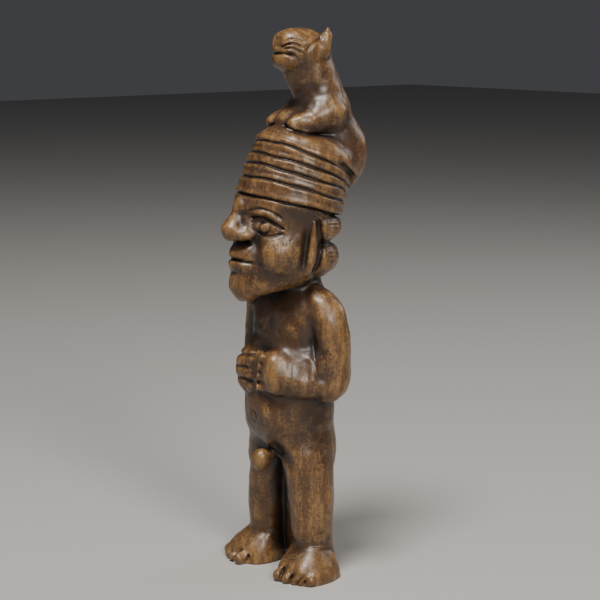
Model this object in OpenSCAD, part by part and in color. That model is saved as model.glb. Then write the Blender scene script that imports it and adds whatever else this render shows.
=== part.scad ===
// Standing carved figure with a tall banded cap and a seated animal on top.
// The figure faces -Y, its left side is +X and it stands on z = 0. Sizes are in millimetres
// and hold for a figure drawn 140 mm tall; "height" scales the whole carving.
// One block of wood, cut along the carver's own lines into solids that meet face to face.

/* [Overall] */
// Height from the soles to the tips of the animal's ears
height = 140; // [100:1:200]
// Turn of head, cap and animal about the vertical, towards the figure's right
head_turn = 10; // [0:1:15]

/* [Feet and legs] */
// Distance of each leg's centre from the middle plane
leg_x = 8.9; // [8.5:0.1:9.3]
// Half-width of the ankle
ankle_r = 4.7; // [4.4:0.1:5]
// Height of the ankle, where foot and leg meet
ankle_z = 8; // [7.5:0.1:8.5]
// Reach of the big toe in front of the leg's centre
toe_reach = 10.4; // [10:0.1:11]
// Distance from one toe's centre to the next
toe_pitch = 2.35; // [2.2:0.05:2.4]

/* [Trunk] */
// Height where the legs end and the belly begins
hip_z = 34; // [33:0.5:35]
// Height where the belly ends and the chest begins
waist_z = 48; // [47:0.5:49]
// Half-width of the belly
belly_rx = 10.8; // [10.4:0.1:11.2]
// Reach of the belly in front of the middle
belly_reach = 12; // [11.5:0.1:12.5]

/* [Arms and hands] */
// Distance of each upper arm's centre from the middle plane
arm_x = 13.3; // [13:0.1:13.6]
// Half-width of the upper arm
arm_r = 4.6; // [4.4:0.1:4.8]
// Height of the elbow's centre
elbow_z = 51; // [50:0.5:52]
// Height of the fists' centre
fist_z = 54.4; // [54:0.2:55]
// Distance from one finger's centre to the next
finger_pitch = 2.9; // [2.7:0.1:3]

/* [Head] */
// Height of the lowest point of the chin
chin_z = 72.3; // [72:0.1:72.8]
// Half-width of the head
head_rx = 11.6; // [11.2:0.1:12]
// Reach of the nose's tip in front of the middle
nose_reach = 19.6; // [19.2:0.1:20]

/* [Cap] */
// Height of the brim at the middle of the head
brim_z = 95.3; // [95:0.1:95.6]
// Radius of the brim
brim_r = 13.6; // [13.3:0.1:13.8]
// Radius at the highest groove
cap_top_r = 12.9; // [12.6:0.1:13]
// Backward lean of the cap
cap_lean = 19.5; // [18:0.5:21]
// Angle by which the grooves fan out from the middle one, to each side
groove_fan = 4.2; // [3.5:0.1:5]
// Depth of a groove
groove_depth = 0.6; // [0.4:0.05:0.8]
// Width of a groove
groove_w = 0.7; // [0.5:0.05:0.9]

/* [Animal] */
// Half-width of the animal's head
animal_head_rx = 5.9; // [5.6:0.1:6.2]
// Distance of each forepaw from the middle plane
paw_x = 4.6; // [4.4:0.1:4.8]

/* [Hidden] */
DRAWN_HEIGHT = 140;
GROOVE_H = [0, 4.1, 7.1, 9.5, 12.3]; // heights of the cap's grooves along its own axis
BANDS = len(GROOVE_H) - 1;
BRIM_Y = -0.3;
FINE = 28;
COARSE = 16;
THIN = 0.02; // thickness of the slices that a form is stretched over
BIG = 100;
WOOD = "#6b4423";
WORN_WOOD = "#8a5a2e";

// ---------------------------------------------------------------- helpers

// An ellipsoid given as [[centre], [half-sizes]].
module blob(b, fn = FINE) {
    translate(b[0]) scale(b[1]) sphere(r = 1, $fn = fn);
}

// A rounded chain through a list of ellipsoids.
module chain(blobs, fn = FINE) {
    for (i = [0 : len(blobs) - 2]) hull() {
        blob(blobs[i], fn);
        blob(blobs[i + 1], fn);
    }
}

// A stack of upright slices: [height, middle x, middle y, half-width, half-depth].
module slice(s, fn) {
    translate([s[1], s[2], s[0]]) scale([s[3], s[4], 1]) cylinder(r = 1, h = THIN, $fn = fn);
}
module stack(slices, fn = FINE) {
    for (i = [0 : len(slices) - 2]) hull() {
        slice(slices[i], fn);
        slice(slices[i + 1], fn);
    }
}

// One convex form around a list of ellipsoids.
module around(blobs, fn = FINE) {
    hull() for (b = blobs) blob(b, fn);
}

// The space above, or below, a height.
module above(z) {
    translate([-BIG, -BIG, z]) cube([2 * BIG, 2 * BIG, BIG]);
}
module below(z) {
    translate([-BIG, -BIG, z - BIG]) cube([2 * BIG, 2 * BIG, BIG]);
}

// What a shape keeps between two heights.
module between(low, high) {
    difference() {
        children();
        below(low);
        above(high);
    }
}

// The side of the middle plane that +X lies on.
module left_half() {
    intersection() {
        children();
        translate([0, -BIG, -BIG]) cube([BIG, 2 * BIG, 3 * BIG]);
    }
}

// Left parts are drawn; right parts are their mirror images.
module side(s) {
    if (s > 0) children();
    else mirror([1, 0, 0]) children();
}

// The first child, cut back by all the others, so that they meet face to face.
module trimmed() {
    difference() {
        children(0);
        children([1 : $children - 1]);
    }
}

// The frame of the head, turned on the neck.
module head_frame() {
    rotate([0, 0, -head_turn]) children();
}

// The frame of the cap: its own axis leans back from the brim's middle.
module leaned() {
    translate([0, BRIM_Y, brim_z]) rotate([-cap_lean, 0, 0]) children();
}
module cap_frame() {
    head_frame() leaned() children();
}

// ---------------------------------------------------------------- feet and legs

module toe(i) {
    x = leg_x - 1.7 * toe_pitch + i * toe_pitch;
    tip_y = -toe_reach + 1.5 + 0.42 * i;
    hull() {
        blob([[x, tip_y, 1.5], [1.25, 1.45, 1.6]], COARSE);
        blob([[x, tip_y + 4.5, 2.2], [1.4, 1.5, 2.3]], COARSE);
    }
}

module foot_blank() {
    heel = [[leg_x + 0.4, 2.5, 2.6], [4.3, 4, 3.2]];
    instep = [[leg_x + 0.1, -1.4, 3.6], [4.7, 4.4, 4]];
    ball = [[leg_x + 0.6, -4.8, 2.1], [5.9, 3.2, 2.5]];
    ankle = [[leg_x, 0.3, ankle_z], [ankle_r, ankle_r + 0.2, 3]];
    chain([heel, instep, ball]);
    around([heel, ankle]);
    around([instep, ankle]);
    for (i = [0 : 4]) toe(i);
}

module foot(s) {
    color(WORN_WOOD) side(s) between(0, ankle_z) foot_blank();
}

module leg_blank() {
    stack([
        [ankle_z - 1.5, leg_x, 0.2, ankle_r + 0.1, ankle_r + 0.3],
        [14, leg_x, 0.2, ankle_r + 0.1, ankle_r + 0.4],
        [20, leg_x, 0.2, ankle_r + 0.4, ankle_r + 0.8],
        [26, leg_x - 0.7, 0.3, ankle_r + 0.9, ankle_r + 1.7],
        [30.5, leg_x - 1.9, 0.5, 6.3, 7.6],
        [hip_z, leg_x - 2.5, 0.6, 6.4, 8.2],
        [hip_z + 3, leg_x - 3.2, 0.6, 5.6, 8],
    ]);
    stack([
        [hip_z - 3.6, 2.4, 0.6, 2.8, 3],
        [hip_z - 1.8, 3.6, 0.6, 3.9, 7],
        [hip_z, 5, 0.6, 5.2, 8.8],
    ]);
    // Wood left standing between the legs, towards the back.
    stack([
        [ankle_z, 2.6, 2.6, 3.2, 2.2],
        [hip_z, 2.6, 2.6, 3.2, 2.4],
    ], COARSE);
}

module leg(s) {
    color(WOOD) side(s) left_half() between(ankle_z, hip_z) leg_blank();
}

// ---------------------------------------------------------------- trunk

module belly_blank() {
    stack([
        [hip_z, 0, 0.6, belly_rx + 1.9, belly_reach - 2],
        [hip_z + 2, 0, 0.3, belly_rx + 1.6, belly_reach - 1.2],
        [hip_z + 5, 0, 0, belly_rx + 0.7, belly_reach - 0.3],
        [hip_z + 9, 0, 0, belly_rx, belly_reach],
        [waist_z - 2.5, 0, 0.2, belly_rx - 0.2, belly_reach - 0.5],
        [waist_z, 0, 0.7, belly_rx - 0.1, belly_reach - 1.5],
    ]);
}

module belly() {
    color(WOOD) between(hip_z, waist_z) belly_blank();
}

module phallus() {
    color(WORN_WOOD) trimmed() {
        around([
            [[0, -7.4, 32.6], [2.1, 2.6, 2]],
            [[0, -9.2, 30.1], [2.4, 2.4, 3]],
        ], COARSE);
        belly_blank();
        leg_blank();
        mirror([1, 0, 0]) leg_blank();
    }
}

module chest_blank() {
    stack([
        [waist_z, 0, 0.7, belly_rx - 0.1, belly_reach - 1.5],
        [waist_z + 5, 0, 1, belly_rx, 10],
        [60, 0, 1.3, belly_rx + 0.6, 9.8],
        [65, 0, 1.6, belly_rx + 1.4, 9.5],
        [69.5, 0, 2, belly_rx + 2, 8.8],
        [72.5, 0, 2.4, belly_rx + 0.8, 7.6],
        [74.8, 0, 2.6, belly_rx - 2.4, 6.2],
        [76.3, 0, 2.6, 5.8, 5],
    ]);
}

module chest() {
    color(WOOD) between(waist_z, BIG) chest_blank();
}

// ---------------------------------------------------------------- arms and hands

module upper_arm_blank() {
    stack([
        [elbow_z - 4.2, arm_x - 1.3, 2.4, 2.8, 3],
        [elbow_z - 2, arm_x - 0.4, 3, arm_r - 0.3, arm_r - 0.1],
        [elbow_z + 1.5, arm_x, 3.3, arm_r - 0.1, arm_r + 0.2],
        [62, arm_x - 0.2, 3.1, arm_r + 0.1, arm_r + 0.2],
        [68.3, arm_x - 1.4, 2.4, arm_r + 0.1, arm_r + 0.2],
        [71.4, arm_x - 2, 2.2, arm_r - 0.7, arm_r - 0.4],
        [73.6, arm_x - 3.1, 2.2, 2.4, 2.8],
    ]);
}

module forearm_blank() {
    chain([
        [[arm_x - 0.9, 1, elbow_z - 0.4], [3.9, 3.9, 3.7]],
        [[arm_x - 2.4, -2.6, elbow_z - 0.2], [3.6, 3.7, 3.7]],
        [[9.2, -5.4, elbow_z + 0.9], [3.4, 3.6, 4.3]],
        [[6.8, -7.4, fist_z - 1.6], [3.1, 3.4, 5.2]],
    ], COARSE);
}

module finger(i) {
    z = fist_z + (1.5 - i) * finger_pitch;
    chain([
        [[1, -10.5, z], [1.3, 1.6, 1.45]],
        [[3.2, -11, z], [1.6, 1.8, 1.5]],
        [[5.6, -9.6, z - 0.2], [1.5, 1.7, 1.5]],
    ], COARSE);
}

module hand_blank() {
    around([
        [[3.2, -8.8, fist_z], [3.4, 2.8, 5.2]],
        [[6, -8.2, fist_z - 0.6], [3.2, 3.2, 5.2]],
    ], COARSE);
    for (i = [0 : 3]) finger(i);
}

module upper_arm(s) {
    color(WOOD) side(s) trimmed() {
        upper_arm_blank();
        chest_blank();
        belly_blank();
    }
}

module forearm(s) {
    color(WOOD) side(s) trimmed() {
        forearm_blank();
        upper_arm_blank();
        chest_blank();
        belly_blank();
    }
}

module hand(s) {
    color(WORN_WOOD) side(s) trimmed() {
        left_half() hand_blank();
        forearm_blank();
        upper_arm_blank();
        chest_blank();
        belly_blank();
    }
}

// ---------------------------------------------------------------- head

// An egg-shaped slice of the head: [height, half-width, half-width of the front, front, back].
module head_slice(s) {
    back_r = min(s[1], 9.5);
    translate([0, s[4] - back_r, s[0]]) scale([s[1], back_r, 1]) cylinder(r = 1, h = THIN, $fn = FINE);
    translate([0, s[3] + s[2], s[0]]) cylinder(r = s[2], h = THIN, $fn = FINE);
    translate([0, (s[3] + s[4]) / 2 - 1, s[0]]) scale([s[1], (s[4] - s[3]) / 2 - 2, 1])
        cylinder(r = 1, h = THIN, $fn = FINE);
}

module head_blank() {
    slices = [
        [chin_z, 3.4, 2.6, -14.4, -6],
        [chin_z + 1.6, 6.6, 3.6, -16.2, 0],
        [chin_z + 3.8, 8.4, 4, -16.7, 5],
        [chin_z + 6.6, 9.8, 4.4, -16.2, 8],
        [chin_z + 9.4, 10.6, 4.6, -16.8, 9],
        [chin_z + 13, head_rx - 0.3, 4.4, -16, 9.8],
        [chin_z + 16, head_rx, 4.6, -13.9, 10],
        [chin_z + 18.6, head_rx, 5.2, -13.4, 10.2],
        [chin_z + 22.4, head_rx, 6, -14.7, 10.2],
        [chin_z + 27.6, head_rx - 0.2, 7, -14, 10.2],
    ];
    for (i = [0 : len(slices) - 2]) hull() {
        head_slice(slices[i]);
        head_slice(slices[i + 1]);
    }
}

// Everything above the plane of groove i.
module above_groove(i) {
    cap_frame() groove_plane(i) translate([-BIG, -BIG, 0]) cube([2 * BIG, 2 * BIG, BIG]);
}

module head() {
    color(WOOD) trimmed() {
        head_frame() head_blank();
        above_groove(0);
    }
}

module neck() {
    color(WOOD) trimmed() {
        translate([0, 1.6, 70]) cylinder(r = 5.8, h = 9, $fn = 48);
        head_frame() head_blank();
        chest_blank();
    }
}

module nose_blank() {
    around([
        [[0, -13.6, 94.4], [1.7, 1.8, 2.4]],
        [[0, 2.5 - nose_reach, 89.2], [2.5, 2.5, 2.7]],
        [[2.7, -13.8, 88.1], [1.7, 2, 1.9]],
        [[-2.7, -13.8, 88.1], [1.7, 2, 1.9]],
    ], COARSE);
}

module nose() {
    color(WORN_WOOD) trimmed() {
        head_frame() nose_blank();
        head_frame() head_blank();
        above_groove(0);
    }
}

module lips_blank() {
    for (lip = [[83.3, 1.1], [80.9, 1.2]], s = [-1, 1]) hull() {
        blob([[0, -16.5, lip[0]], [1.6, 1.3, lip[1]]], COARSE);
        blob([[s * 3.9, -13.8, lip[0] - 0.2], [1.1, 1.2, lip[1] * 0.7]], COARSE);
    }
}

module lips() {
    color(WORN_WOOD) head_frame() trimmed() {
        lips_blank();
        nose_blank();
        head_blank();
    }
}

module eye(s) {
    color(WORN_WOOD) head_frame() side(s) trimmed() {
        translate([5.9, -10.1, 90.8]) rotate([0, 0, 30]) around([
            [[0, 0, 0], [3.1, 1.7, 1.5]],
            [[-0.6, -0.5, 0], [1.5, 1.7, 1.5]],
        ], COARSE);
        head_blank();
        nose_blank();
    }
}

module ear_blank() {
    chain([
        [[10.9, 0, 90.6], [1.5, 1.7, 2.2]],
        [[11.2, 0.2, 86.5], [1.5, 1.9, 3]],
        [[10.2, 0, 80.5], [1.5, 1.8, 2.6]],
    ], COARSE);
}

module ear(s) {
    color(WOOD) trimmed() {
        head_frame() side(s) ear_blank();
        head_frame() head_blank();
        head_frame() hair_blank(0);
        head_frame() hair_blank(1);
        above_groove(0);
    }
}

// Two rolls of hair wrap the back of the head, the upper one over the lower one.
module hair_blank(i) {
    z = [89.3, 81.7][i];
    r = [[11.6, 5.6], [10.8, 5.2]][i];
    around([
        [[0, 6, z], [r[0] - 0.8, r[1] + 1, 3.9]],
        [[7.4, 5, z], [4.2, r[1], 3.8]],
        [[-7.4, 5, z], [4.2, r[1], 3.8]],
    ], COARSE);
}

module hair_upper_roll() {
    color(WOOD) trimmed() {
        head_frame() hair_blank(0);
        head_frame() head_blank();
        above_groove(0);
    }
}

module hair_lower_roll() {
    color(WOOD) trimmed() {
        head_frame() hair_blank(1);
        head_frame() hair_blank(0);
        head_frame() head_blank();
        chest_blank();
        upper_arm_blank();
        mirror([1, 0, 0]) upper_arm_blank();
    }
}

// ---------------------------------------------------------------- cap

// The grooves fan out evenly, from low at the front of the brim to high at the front of the crown.
module groove_plane(i) {
    translate([0, 0, GROOVE_H[i]]) rotate([groove_fan * (1 - 2 * i / BANDS), 0, 0]) children();
}

module cap_cone(inset) {
    h = GROOVE_H[BANDS] + 6;
    slope = (brim_r - cap_top_r) / GROOVE_H[BANDS];
    translate([0, 0, -3]) cylinder(
        r1 = brim_r + 3 * slope - inset, r2 = cap_top_r - 3 * slope - inset, h = h, $fn = 96
    );
}

// What a shape keeps between groove planes i and j, with the upper one lowered by drop.
module between_grooves(i, j, drop) {
    intersection() {
        children();
        groove_plane(i) translate([-BIG, -BIG, 0]) cube([2 * BIG, 2 * BIG, BIG]);
        groove_plane(j) translate([-BIG, -BIG, -BIG - drop]) cube([2 * BIG, 2 * BIG, BIG]);
    }
}

module cap_band(i) {
    color(WORN_WOOD) cap_frame() {
        between_grooves(i, i + 1, groove_w) cap_cone(0);
        between_grooves(i, i + 1, 0) cap_cone(groove_depth);
    }
}

module crown_blank() {
    leaned() around([[[0, 0, GROOVE_H[BANDS]], [13.2, 13.2, 7.5]]]);
}

module cap_crown() {
    color(WOOD) intersection() {
        head_frame() crown_blank();
        above_groove(BANDS);
    }
}

// ---------------------------------------------------------------- animal

module haunches_blank() {
    around([
        [[0, 13.6, 108], [8, 6.4, 8.8]],
        [[0, 13.2, 103.4], [5.4, 4.6, 4]],
    ]);
}

module body_blank() {
    stack([
        [105, 0, 11.5, 6.4, 7],
        [112, 0, 11.6, 7.6, 8],
        [117, 0, 10.4, 7.6, 8],
        [120.5, 0, 9, 7, 7.6],
        [123.5, 0, 8.5, 6.1, 6.5],
        [127.5, 0, 6.4, 5.7, 6.4],
        [131.5, 0, 5.6, 5.4, 6.2],
    ], COARSE * 2);
}

module foreleg_blank() {
    chain([
        [[paw_x + 1, 8, 118.6], [3.4, 4.2, 4.6]],
        [[paw_x + 1.1, 3.6, 116.4], [2.8, 3.4, 3]],
        [[paw_x + 0.7, -0.6, 115.9], [2.2, 2.6, 2.2]],
        [[paw_x + 0.4, -2.2, 115.6], [1.9, 2, 1.9]],
    ], COARSE);
}

module animal_head_blank() {
    around([
        [[0, 3.6, 134.4], [animal_head_rx, 7, 4.9]],
        [[0, -0.8, 134.8], [4.7, 3.8, 3.8]],
    ]);
}

module animal_jaw_blank() {
    around([
        [[0, -1, 131.1], [3.7, 3.4, 2.4]],
        [[0, 3.4, 130.6], [4, 4, 2.6]],
    ], COARSE);
}

module animal_ear_blank() {
    around([
        [[4, 8.2, 134], [2.2, 2.6, 3]],
        [[4.3, 9.3, DRAWN_HEIGHT - 0.8], [0.8, 0.8, 0.8]],
    ], COARSE);
}

// The cap as a plain cone under its crown, for cutting back what sits on it.
module cap_blank() {
    cap_frame() cap_cone(0);
}

module animal_haunches() {
    color(WOOD) trimmed() {
        head_frame() haunches_blank();
        cap_blank();
        head_frame() crown_blank();
    }
}

module animal_body() {
    color(WOOD) head_frame() trimmed() {
        body_blank();
        crown_blank();
        haunches_blank();
        animal_head_blank();
    }
}

module animal_foreleg(s) {
    color(WORN_WOOD) head_frame() trimmed() {
        side(s) foreleg_blank();
        crown_blank();
        body_blank();
    }
}

module animal_head() {
    color(WOOD) head_frame() animal_head_blank();
}

module animal_lower_jaw() {
    color(WOOD) head_frame() trimmed() {
        animal_jaw_blank();
        animal_head_blank();
        body_blank();
    }
}

module animal_ear(s) {
    color(WORN_WOOD) head_frame() trimmed() {
        side(s) animal_ear_blank();
        animal_head_blank();
        body_blank();
    }
}

// ---------------------------------------------------------------- the pieces

// The drawn figure, brought to its height.
module sized() {
    scale(height / DRAWN_HEIGHT) children();
}

sized() foot(1);  // left_foot
sized() foot(-1);  // right_foot
sized() leg(1);  // left_leg
sized() leg(-1);  // right_leg
sized() belly();
sized() phallus();
sized() chest();
sized() upper_arm(1);  // left_upper_arm
sized() upper_arm(-1);  // right_upper_arm
sized() forearm(1);  // left_forearm
sized() forearm(-1);  // right_forearm
sized() hand(1);  // left_hand
sized() hand(-1);  // right_hand
sized() neck();
sized() head();
sized() nose();
sized() lips();
sized() eye(1);  // left_eye
sized() eye(-1);  // right_eye
sized() ear(1);  // left_ear
sized() ear(-1);  // right_ear
sized() hair_upper_roll();
sized() hair_lower_roll();
sized() cap_band(0);  // cap_band_1
sized() cap_band(1);  // cap_band_2
sized() cap_band(2);  // cap_band_3
sized() cap_band(3);  // cap_band_4
sized() cap_crown();
sized() animal_haunches();
sized() animal_body();
sized() animal_foreleg(1);  // animal_left_foreleg
sized() animal_foreleg(-1);  // animal_right_foreleg
sized() animal_head();
sized() animal_lower_jaw();
sized() animal_ear(1);  // animal_left_ear
sized() animal_ear(-1);  // animal_right_ear
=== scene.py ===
import itertools
import math

import bpy
import numpy as np
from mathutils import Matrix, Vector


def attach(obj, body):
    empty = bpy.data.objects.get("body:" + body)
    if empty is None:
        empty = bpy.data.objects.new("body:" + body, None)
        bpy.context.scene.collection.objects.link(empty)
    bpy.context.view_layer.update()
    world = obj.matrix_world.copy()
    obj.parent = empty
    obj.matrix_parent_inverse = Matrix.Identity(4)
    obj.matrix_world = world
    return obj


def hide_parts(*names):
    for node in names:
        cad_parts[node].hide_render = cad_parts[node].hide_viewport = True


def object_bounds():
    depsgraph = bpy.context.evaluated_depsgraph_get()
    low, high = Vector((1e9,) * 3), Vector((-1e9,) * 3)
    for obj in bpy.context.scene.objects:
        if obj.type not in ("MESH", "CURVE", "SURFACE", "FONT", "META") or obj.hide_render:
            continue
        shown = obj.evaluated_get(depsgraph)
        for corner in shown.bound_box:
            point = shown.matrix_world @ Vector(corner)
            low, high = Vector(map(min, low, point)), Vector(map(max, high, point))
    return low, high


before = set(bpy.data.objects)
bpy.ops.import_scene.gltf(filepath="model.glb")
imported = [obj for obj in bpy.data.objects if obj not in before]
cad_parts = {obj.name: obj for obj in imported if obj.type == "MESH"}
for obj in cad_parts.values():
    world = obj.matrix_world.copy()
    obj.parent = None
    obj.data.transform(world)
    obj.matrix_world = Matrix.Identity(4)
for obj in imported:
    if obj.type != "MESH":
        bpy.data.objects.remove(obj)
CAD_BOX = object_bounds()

import openvdb
from mathutils import Vector

# The figure is sculpted in millimetres as a signed distance field, negative inside the wood,
# at the size it is drawn in: 140 mm tall. MM turns that into metres at the frame's height.
DRAWN_HEIGHT = 140.0
MM = (CAD_BOX[1][2] - CAD_BOX[0][2]) / DRAWN_HEIGHT
BLOCK_LOW, BLOCK_HIGH = (-20.0, -22.5, -1.5), (20.0, 24.5, 142.5)
CELL = 0.3
FAR = 8.0  # the field's value in a block with nothing in it
TINY = 1e-6

SIDES = (1, -1)  # the figure's left, +X, and its right
HEAD_TURN = 10.0  # degrees that head, cap and animal are turned to the right

# Directions that lines are cut from, in degrees round from the front towards the left.
FRONT, FRONT_LEFT, FACE_SIDE = 0, 50, 60


# ---- distances

class Shape:
    """A distance function of (x, y, z) arrays with the corners of the space it fills."""

    def __init__(self, distance, low, high):
        self.distance = distance
        self.low, self.high = np.array(low, float), np.array(high, float)


def spun(x, y, degrees):
    """x and y in a frame that is turned by degrees about the vertical."""
    c, s = math.cos(math.radians(degrees)), math.sin(math.radians(degrees))
    return x * c + y * s, y * c - x * s


def turned(shape, degrees=-HEAD_TURN):
    """shape turned by degrees about the vertical."""
    def distance(p):
        x, y = spun(p[0], p[1], degrees)
        return shape.distance((x, y, p[2]))
    corners = [spun(x, y, -degrees) for x in (shape.low[0], shape.high[0])
               for y in (shape.low[1], shape.high[1])]
    flat = np.array(corners)
    return Shape(distance, (*flat.min(0), shape.low[2]), (*flat.max(0), shape.high[2]))


def mirrored(shape):
    """shape on the other side of the middle plane."""
    def distance(p):
        return shape.distance((-p[0], p[1], p[2]))
    low, high = shape.low.copy(), shape.high.copy()
    low[0], high[0] = -shape.high[0], -shape.low[0]
    return Shape(distance, low, high)


def moved(shape, by):
    """shape shifted by an (x, y, z) step."""
    return Shape(lambda p: shape.distance(tuple(c - d for c, d in zip(p, by))),
                 shape.low + by, shape.high + by)


def side(shape, s):
    """shape, drawn for the left, on the side s."""
    return shape if s > 0 else mirrored(shape)


def oval(offsets, radii, power):
    """Distance from an oval whose outline is a circle at power 2 and squarer above it."""
    ratios = [np.abs(offset / radius) for offset, radius in zip(offsets, radii)]
    k = sum(u**power for u in ratios) ** (1 / power) + TINY
    slope = np.sqrt(sum((u ** (power - 1) / radius) ** 2 for u, radius in zip(ratios, radii)))
    return (k - 1) * k ** (power - 1) / (slope + TINY)


def both(shape):
    """shape and its mirror image."""
    return shape, mirrored(shape)


def blob(centre, radii, yaw=0.0, pitch=0.0, power=2.0):
    """An ellipsoid, turned by yaw about the vertical and pitched nose-up about its own x axis."""
    cx, cy, cz = centre
    cp, sp = math.cos(math.radians(pitch)), math.sin(math.radians(pitch))

    def distance(p):
        x, y = spun(p[0] - cx, p[1] - cy, yaw)
        z = p[2] - cz
        y, z = y * cp - z * sp, z * cp + y * sp
        return oval((x, y, z), radii, power)
    reach = max(radii) if yaw or pitch else np.array(radii)
    return Shape(distance, np.array(centre) - reach, np.array(centre) + reach)


def limb(a, b, ra, rb):
    """A round bar from a to b whose radius runs from ra to rb."""
    a, b = np.array(a, float), np.array(b, float)
    axis = b - a

    def distance(p):
        q = [p[i] - a[i] for i in range(3)]
        t = np.clip(sum(q[i] * axis[i] for i in range(3)) / (axis @ axis), 0, 1)
        return np.sqrt(sum((q[i] - t * axis[i]) ** 2 for i in range(3))) - (ra + t * (rb - ra))
    r = max(ra, rb)
    return Shape(distance, np.minimum(a, b) - r, np.maximum(a, b) + r)


def eased(z, heights, values, ease=1.6):
    """values over heights at z, with the corners rounded off."""
    steps = np.linspace(-ease, ease, 7)
    return sum(np.interp(z + s, heights, values) for s in steps) / len(steps)


def loft(levels, power=2.0, ease=1.6):
    """A form through level outlines: (height, middle x, middle y, half-width, front, back)."""
    table = np.array(levels, float).T

    def distance(p):
        cx, cy, w, front, back = (eased(p[2], table[0], row, ease) for row in table[1:])
        x, y = p[0] - cx, p[1] - cy
        wall = oval((x, y), (w, np.where(y < 0, front, back)), power)
        return np.maximum(wall, np.maximum(table[0][0] - p[2], p[2] - table[0][-1]))
    low = (np.min(table[1] - table[3]), np.min(table[2] - table[4]), table[0][0])
    high = (np.max(table[1] + table[3]), np.max(table[2] + table[5]), table[0][-1])
    return Shape(distance, low, high)


def sweep(stations, power=2.0):
    """A level bar through stations: (x, y, z, half-thickness, reach up, reach down)."""
    rows = np.array(stations, float)

    def distance(p):
        best, kept = None, None
        for a, b in zip(rows[:-1], rows[1:]):
            d = b[:2] - a[:2]
            t = np.clip(((p[0] - a[0]) * d[0] + (p[1] - a[1]) * d[1]) / (d @ d), 0, 1)
            flat = np.hypot(p[0] - a[0] - t * d[0], p[1] - a[1] - t * d[1])
            values = [a[i] + t * (b[i] - a[i]) for i in range(2, 6)]
            if best is None:
                best, kept = flat, values
            else:
                nearer = flat < best
                kept = [np.where(nearer, new, old) for new, old in zip(values, kept)]
                best = np.where(nearer, flat, best)
        dz = p[2] - kept[0]
        return oval((best, dz), (kept[1], np.where(dz > 0, kept[2], kept[3])), power)
    r = rows[:, 3].max()
    low = (*(rows[:, :2].min(0) - r), (rows[:, 2] - rows[:, 5]).min())
    high = (*(rows[:, :2].max(0) + r), (rows[:, 2] + rows[:, 4]).max())
    return Shape(distance, low, high)


def union(*shapes):
    """Everything that any of shapes fills."""
    def distance(p):
        d = shapes[0].distance(p)
        for shape in shapes[1:]:
            d = np.minimum(d, shape.distance(p))
        return d
    return Shape(distance, np.min([s.low for s in shapes], 0), np.max([s.high for s in shapes], 0))


def curve(points, steps=6):
    """A smooth line through points, as a list of closely spaced ones."""
    p = np.array(points, float)
    p = np.vstack([2 * p[0] - p[1], p, 2 * p[-1] - p[-2]])
    out = []
    for i in range(1, len(p) - 2):
        for t in np.linspace(0, 1, steps, endpoint=False):
            out.append(0.5 * (2 * p[i] + (p[i + 1] - p[i - 1]) * t
                              + (2 * p[i - 1] - 5 * p[i] + 4 * p[i + 1] - p[i + 2]) * t**2
                              + (3 * p[i] - p[i - 1] - 3 * p[i + 1] + p[i + 2]) * t**3))
    out.append(p[-2])
    return np.array(out)


def to_line(coords, line):
    """Distance from points to a line, in as many dimensions as coords has, and the place along
    it, from 0 to 1."""
    best, place = None, None
    for i, (a, b) in enumerate(zip(line[:-1], line[1:])):
        d = b - a
        t = np.clip(sum((c - a[j]) * d[j] for j, c in enumerate(coords)) / max(d @ d, 1e-9), 0, 1)
        gap = np.sqrt(sum((c - a[j] - t * d[j]) ** 2 for j, c in enumerate(coords)))
        here = (i + t) / (len(line) - 1)
        if best is None:
            best, place = gap, here
        else:
            place = np.where(gap < best, here, place)
            best = np.minimum(gap, best)
    return best, place


# ---- the block of wood

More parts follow.
